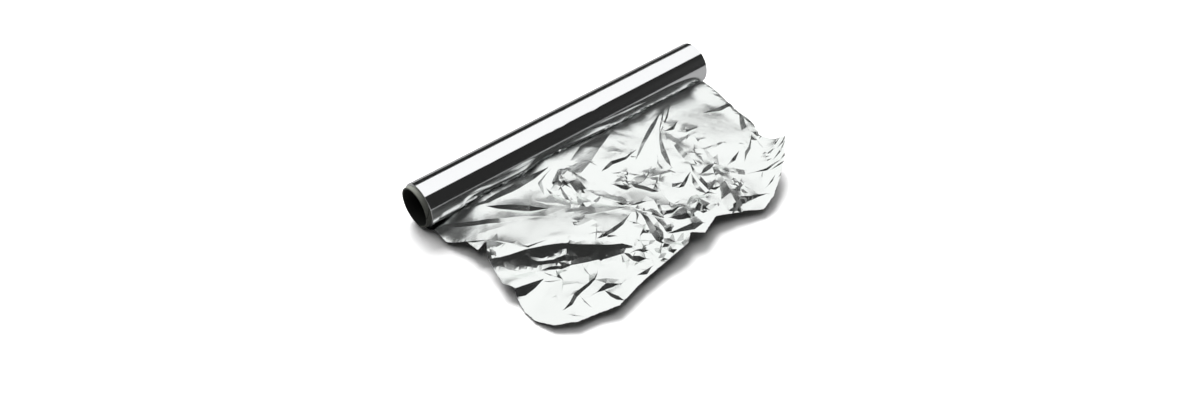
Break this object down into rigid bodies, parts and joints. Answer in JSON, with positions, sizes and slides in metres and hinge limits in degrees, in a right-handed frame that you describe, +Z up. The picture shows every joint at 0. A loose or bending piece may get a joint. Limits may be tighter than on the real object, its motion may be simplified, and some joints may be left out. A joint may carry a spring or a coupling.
{
  "type": "aluminium foil roll",
  "caption": "Web of aluminium foil wound on a cardboard core, with its free end pulled out over the floor and crumpled.",
  "frame": {"origin": "on the axis of the core's bore, at the middle of the web's width", "axes": "X runs along the roll, with the end where the core stands out at -X; the loose end lies towards -Y; +Z is up, and the floor is one roll radius (19.3 mm) below the origin"},
  "size_m": [0.3046, 0.1961, 0.0386],
  "materials": {
    "aluminium_foil": "rolled aluminium foil, bright on the outside of the roll and satin on the face of the loose end",
    "core_cardboard": "spiral-wound grey cardboard"
  },
  "bodies": {
    "root": {"foil": "aluminium_foil", "cardboard_core": "core_cardboard"}
  },
  "joints": []
}
